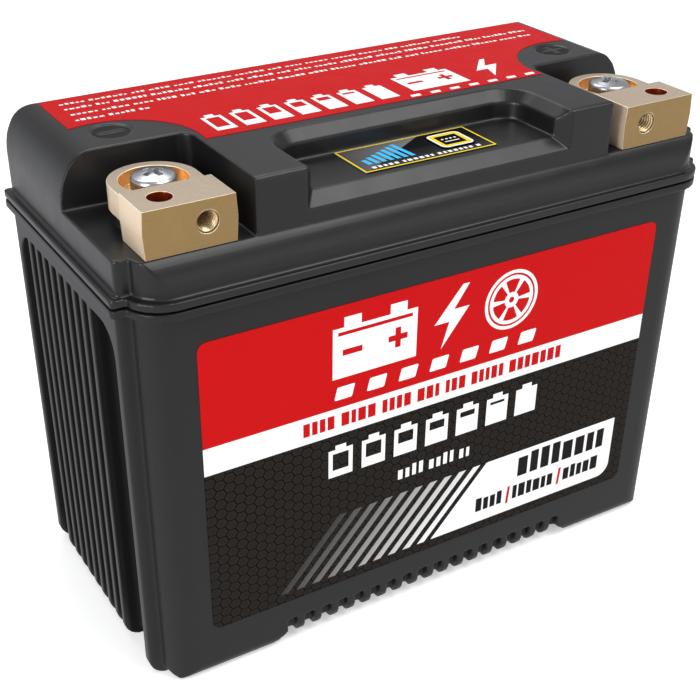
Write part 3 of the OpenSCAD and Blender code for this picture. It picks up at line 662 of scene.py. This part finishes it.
def bolt_sign(x, y, h):
    """Lightning bolt of height h with its middle at x, y."""
    return [(x + u * h, y + v * h) for u, v in ((0.18, 0.5), (-0.3, -0.07), (-0.03, -0.07), (-0.16, -0.5),
                                                (0.32, 0.12), (0.04, 0.12), (0.3, 0.5))]


def level_sign(x, y, w, h, level):
    """Upright cell outline with a nub, filled to level (0 to 1)."""
    nub, t = h * 0.13, w * 0.17
    top = y + h - nub
    a, b = x + w * 0.28, x + w * 0.72
    loops = [[(x, y), (x + w, y), (x + w, top), (b, top), (b, y + h), (a, y + h), (a, top), (x, top)]]
    inner = top - y - 2 * t
    if level < 1:
        loops.append(box(x + t, y + t + inner * level, x + w - t, top - t))
    return loops


def level_row(x, y, w, h, pitch):
    """Upright cells side by side, each fuller than the last."""
    return [loop for i in range(LEVELS) for loop in level_sign(x + pitch * i, y, w, h, (i + 1) / LEVELS)]


def dash_row(x, y, w, h, pitch, r, lean):
    return [box(x + pitch * i, y, x + pitch * i + w, y + h, r, lean) for i in range(LEVELS)]


# front label
signs = battery_sign(-32, 77.2, -8.5, 93.2) + [bolt_sign(1.5, 85.2, 16.4)] + wheel(19.8, 85.2, 8.2, 6)
printed("front_signs", signs, "front", white_ink)
printed("front_dashes", dash_row(-31.5, 71.3, 4.9, 3.5, 9.1, 0.4, 0.25), "front", white_ink)
printed("stripe_marks", marks(-40, 38.6, 63.6, 3.7, 1.7, 0.62, 4, 7, tall=0.0), "front", red_ink)
printed("cell_row", level_row(-33, 49.2, 6.9, 9.2, 9.55), "front", white_ink)
printed("thin_row", marks(-12.3, 10.4, 41.5, 3.6, 1.3, 0.9, 4, 9, tall=0.2), "front", white_ink)
corner = [(TAG_RIGHT - TAG_R + TAG_R * math.sin(a), TAG_LOW + TAG_R - TAG_R * math.cos(a))
          for a in (math.pi / 2 * k / 8 for k in range(1, 9))]
tag = [(STRIPE_END + SLANT * TAG_LOW, TAG_LOW), (TAG_RIGHT - TAG_R, TAG_LOW), *corner,
       (TAG_RIGHT, TAG_HIGH), (STRIPE_END + SLANT * TAG_HIGH, TAG_HIGH)]
printed("tag", [tag], "front", white_ink)
stripe = [(STRIPE_END + SLANT * z - w, z) for z, w in
          ((TAG_LOW, 4.45), (TAG_LOW, 2.15), (TAG_HIGH, 2.15), (TAG_HIGH, 4.45))]
printed("tag_stripes", [[(x - 4.65 * i, z) for x, z in stripe] for i in range(10)], "front", fade_ink)
printed("tag_row_high", marks(27.5, 58, 28.4, 7.0, 3.2, 1.05, 8, 3, tall=0.12), "front", dark_ink, lift=INK_T)
for i, (a, b) in enumerate(((13.8, 22.6), (26.4, 40.6), (44.4, 57.4))):
    row = marks(a, b, 21.2, 4.4, 1.9, 0.62, 9, 5 + i, tall=0.1)
    printed("tag_row_low_%d" % i, row, "front", dark_ink, lift=INK_T)
bars = [box(x, 20.4, x + 0.8, 26.0, lean=0.08) for x in (24.1, 42.1)]
printed("tag_bars", bars, "front", red_ink, lift=INK_T)

# top label
deck_lines = ((-68.5, 50.0, 26.3, 1.1), (-68.5, 68.8, 22.4, 1.3), (-68.5, 68.0, 18.1, 1.3),
              (-68.9, -49.5, 13.8, 1.3))
for i, (a, b, y, h) in enumerate(deck_lines):
    printed("deck_marks_%d" % i, marks(a, b, y, h, 0.95, 0.5, 5, 11 + i), "deck", white_ink)
printed("deck_gauge", level_row(-43.2, -8.4, 5.2, 11.0, 7.4), "deck", white_ink)
printed("deck_signs", battery_sign(11.5, -7.0, 28.5, 6.3) + [bolt_sign(38.6, -0.3, 13.2)], "deck", white_ink)
printed("deck_dashes", dash_row(8.4, -10.6, 2.8, 1.4, 5.85, 0.2, 0.2), "deck", white_ink)

# display overlay and key
border = [box(-18.3, -32.5, 18.3, -18.1, 0.2), box(-17.85, -32.05, 17.85, -18.55, 0.1)]
printed("overlay_border", border, "overlay", yellow_ink)
bars = [box(-15.1 + 1.95 * i, -28.6, -13.95 + 1.95 * i, -25.6 + 0.9 * i, lean=-0.12) for i in range(LEVELS)]
printed("charge_bars", bars, "overlay", cyan_ink)
printed("overlay_marks", marks(-15.4, 14.8, -31.2, 1.1, 0.85, 0.6, 5, 21, tall=0.0), "overlay", white_ink)


def key_box(inset, r):
    across, deep = KEY_HALF_X - inset, KEY_HALF_Y - inset
    return box(KEY_X - across, KEY_Y - deep, KEY_X + across, KEY_Y + deep, r)


printed("key_ring_white", [key_box(0.12, 1.5), key_box(0.62, 1.1)], "key", white_ink, KEY_BODY)
printed("key_ring_yellow", [key_box(0.66, 1.1), key_box(1.6, 0.25)], "key", yellow_ink, KEY_BODY)
dots = [disc(KEY_X - 1.8 + 1.2 * i, KEY_Y + 0.7, 0.34, 16) for i in range(4)]
dots.insert(0, box(KEY_X - 2.1, KEY_Y - 1.1, KEY_X + 2.1, KEY_Y - 0.7, 0.1))
printed("key_marks", dots, "key", white_ink, KEY_BODY)

# polarity discs
for side, name in ((-1, "minus"), (1, "plus")):
    x = side * DISC_X
    printed("disc_" + name, [disc(x, DISC_Y, 4.8)], "disc", disc_plastic, thick=0.06)
    sign = [cross(x, DISC_Y, 3, 0.55)] if side > 0 else [box(x - 3, DISC_Y - 0.55, x + 3, DISC_Y + 0.55)]
    printed("sign_" + name, sign, "disc", lid_plastic, thick=0.22, lift=0.06)


# ---------- camera, light and floor ----------

yaw, pitch = math.radians(30.08), math.radians(32.222)
look = Vector((math.sin(yaw) * math.cos(pitch), math.cos(yaw) * math.cos(pitch), -math.sin(pitch)))
camera = placed("camera", bpy.data.cameras.new("camera"))
camera.location = Vector((-158.8, -254.7, 226.4)) * MM
camera.rotation_euler = look.to_track_quat("-Z", "Y").to_euler()
camera.data.lens = 63.34
camera.data.shift_x, camera.data.shift_y = 0.0417, 0.0812
camera.data.clip_start = 0.01
scene.camera = camera
scene.view_settings.view_transform = "Standard"

world = bpy.data.worlds.new("studio")
scene.world = world
world.use_nodes = True
sky = world.node_tree
direction = sky.nodes.new("ShaderNodeTexCoord").outputs["Generated"]
split = sky.nodes.new("ShaderNodeSeparateXYZ")
sky.links.new(direction, split.inputs[0])
ramp = sky.nodes.new("ShaderNodeMapRange")  # brighter below the horizon, as above a white floor
for socket, value in (("From Min", -0.1), ("From Max", 0.2), ("To Min", 0.85), ("To Max", 0.42)):
    ramp.inputs[socket].default_value = value
sky.links.new(split.outputs[2], ramp.inputs["Value"])
sky.nodes["Background"].inputs["Color"].default_value = (0.96, 0.97, 1.0, 1)
sky.links.new(ramp.outputs["Result"], sky.nodes["Background"].inputs["Strength"])


def lamp(name, place_mm, aim_mm, size_mm, watts, colour=(1, 1, 1)):
    light = bpy.data.lights.new(name, "AREA")
    light.shape, light.size, light.size_y = "RECTANGLE", size_mm[0] * MM, size_mm[1] * MM
    light.energy, light.color = watts, colour
    obj = placed(name, light)
    obj.location = Vector(place_mm) * MM
    obj.rotation_euler = (Vector(aim_mm) * MM - obj.location).to_track_quat("-Z", "Y").to_euler()


lamp("key_light", (230, -260, 680), (0, 0, 60), (560, 400), 3.0, (1, 0.99, 0.97))
lamp("back_light", (20, 330, 620), (0, 0, 60), (560, 260), 1.4)
lamp("left_fill", (-580, -240, 300), (-40, 0, 70), (200, 380), 2.4)
lamp("front_fill", (330, -640, 240), (0, 0, 60), (480, 300), 0.35)

floor_mat = Tree("floor", Roughness=0.9, Emission_Strength=0.4)
floor_mat.set(Base_Color=floor_mat.mix(floor_mat.noise(60, 2), (0.93, 0.93, 0.93), (0.96, 0.96, 0.96)),
              Emission_Color=(1, 1, 1))
bm = bmesh.new()
bmesh.ops.create_grid(bm, x_segments=8, y_segments=8, size=3)
floor = placed("floor", mesh_of(bm, "floor"))
dress(floor, floor_mat.mat)
floor.visible_glossy = False  # black plastic stays black instead of mirroring the white ground
